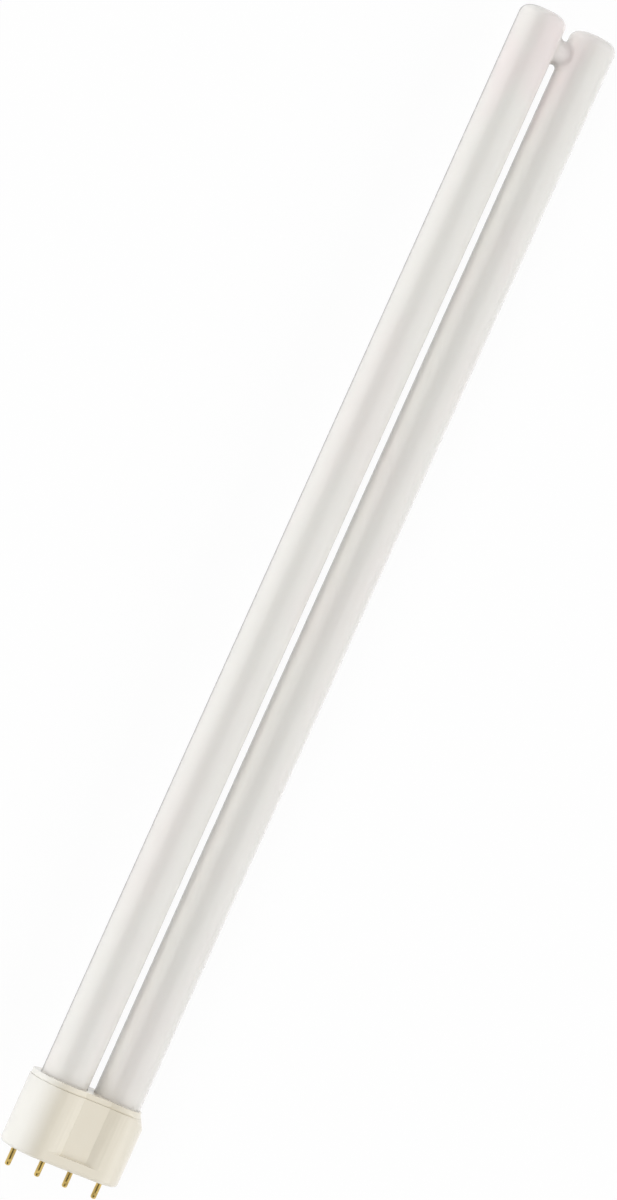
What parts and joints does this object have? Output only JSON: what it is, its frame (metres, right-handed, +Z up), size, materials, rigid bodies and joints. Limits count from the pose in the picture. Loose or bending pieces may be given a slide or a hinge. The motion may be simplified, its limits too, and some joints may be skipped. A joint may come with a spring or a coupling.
{
  "type": "compact fluorescent lamp",
  "caption": "Long twin-tube compact fluorescent lamp: opal glass tubes joined near their tips, in a cream moulded cap with a row of brass contact pins.",
  "frame": {"origin": "middle of the cap's pin face", "axes": "+Y along the lamp from the pin face to the tube tips, +X across both tubes, +Z up out of the pictured broad face; the lamp lies on the opposite broad side"},
  "size_m": [0.0428, 0.4166, 0.0228],
  "materials": {
    "coated_glass": "clear outside over a white powder coating",
    "cap_plastic": "satin cream",
    "collar_plastic": "satin cream",
    "cement": "dull, baked",
    "pin_brass": "bright",
    "lead_metal": "drawn wire"
  },
  "bodies": {
    "root": {"discharge_tube": "coated_glass", "cap_shell": "cap_plastic", "tube_collar": "collar_plastic", "cement_1": "cement", "cement_2": "cement", "contact_pin_1": "pin_brass", "contact_pin_2": "pin_brass", "contact_pin_3": "pin_brass", "contact_pin_4": "pin_brass", "lead_wire_1": "lead_metal", "lead_wire_2": "lead_metal", "lead_wire_3": "lead_metal", "lead_wire_4": "lead_metal"}
  },
  "joints": []
}
